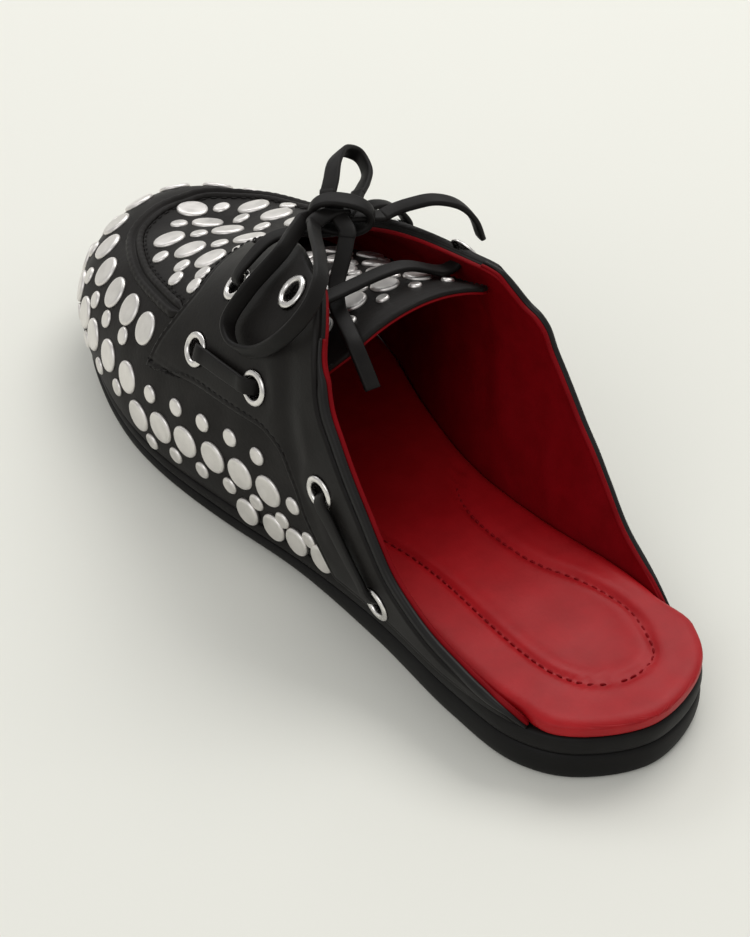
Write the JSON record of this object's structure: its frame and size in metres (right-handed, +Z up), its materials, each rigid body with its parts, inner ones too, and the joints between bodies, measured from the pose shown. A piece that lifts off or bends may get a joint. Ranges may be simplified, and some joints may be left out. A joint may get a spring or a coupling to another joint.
{
  "type": "loafer mule",
  "caption": "Left backless moccasin mule on a low heel, with studded apron, side walls and tongue, a flat leather bow lace through metal eyelets, and a padded red footbed.",
  "frame": {"origin": "on the floor, under the middle of the shoe's length and width", "axes": "+Y from heel to toe, +Z up, +X towards the medial (inner) side of this left shoe"},
  "size_m": [0.0924, 0.2642, 0.0964],
  "materials": {
    "sole_rubber": "matt moulded black rubber",
    "black_leather": "satin black calf, fine grain",
    "saddle_leather": "smooth satin black calf",
    "red_leather": "soft satin red lining leather",
    "lace_leather": "flat satin black lace leather",
    "silver_metal": "satin silver"
  },
  "bodies": {
    "root": {"outsole": "sole_rubber", "rand": "black_leather", "footbed": "red_leather", "upper": "black_leather", "saddle_lateral": "saddle_leather", "saddle_medial": "saddle_leather", "tongue": "black_leather", "eyelet_front_lateral": "silver_metal", "eyelet_rear_lateral": "silver_metal", "eyelet_side_1_lateral": "silver_metal", "eyelet_side_2_lateral": "silver_metal", "eyelet_side_3_lateral": "silver_metal", "eyelet_side_4_lateral": "silver_metal", "eyelet_front_medial": "silver_metal", "eyelet_rear_medial": "silver_metal", "eyelet_side_1_medial": "silver_metal", "eyelet_side_2_medial": "silver_metal", "eyelet_side_3_medial": "silver_metal", "eyelet_side_4_medial": "silver_metal", "lace_side_front_lateral": "lace_leather", "lace_side_front_medial": "lace_leather", "lace_side_rear_lateral": "lace_leather", "lace_side_rear_medial": "lace_leather", "lace_crossing": "lace_leather", "lace_bar_rear": "lace_leather", "lace_knot": "lace_leather", "lace_loop_lateral": "lace_leather", "lace_loop_medial": "lace_leather", "lace_end_medial": "lace_leather", "lace_end_rear": "lace_leather"}
  },
  "joints": []
}
